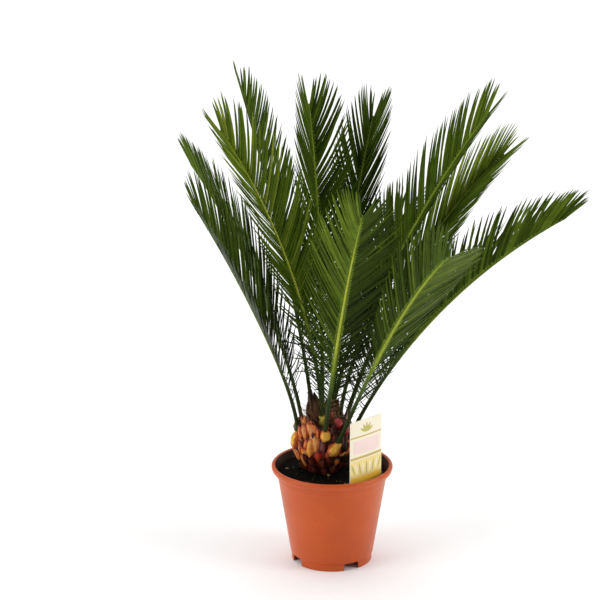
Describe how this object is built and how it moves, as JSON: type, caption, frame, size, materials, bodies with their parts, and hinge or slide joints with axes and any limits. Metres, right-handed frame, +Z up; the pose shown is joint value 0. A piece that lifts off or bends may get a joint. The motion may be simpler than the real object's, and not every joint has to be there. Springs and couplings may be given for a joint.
{
  "type": "potted sago palm",
  "caption": "Potted sago palm: a scaly pineapple-like trunk with a crown of stiff, glossy feathered fronds, in a terracotta plastic nursery pot with a plain plant label.",
  "frame": {"origin": "centre of the pot's flat underside", "axes": "+Z is up through the pot, -Y is the front seen in the picture and +X is to its right"},
  "size_m": [0.5579, 0.626, 0.6851],
  "materials": {
    "terracotta_plastic": "satin",
    "peat": "matte",
    "label_card": "satin",
    "trunk_scales": "matte",
    "leaf": "gloss"
  },
  "bodies": {
    "root": {"pot": "terracotta_plastic", "soil": "peat", "plant_label": "label_card", "trunk": "trunk_scales", "frond_left_front": "leaf", "frond_left_back": "leaf", "frond_left": "leaf", "frond_back_left": "leaf", "frond_back": "leaf", "frond_back_right": "leaf", "frond_right": "leaf", "frond_right_back": "leaf", "frond_right_low": "leaf", "frond_right_front": "leaf", "frond_front": "leaf", "frond_inner_back": "leaf"}
  },
  "joints": []
}
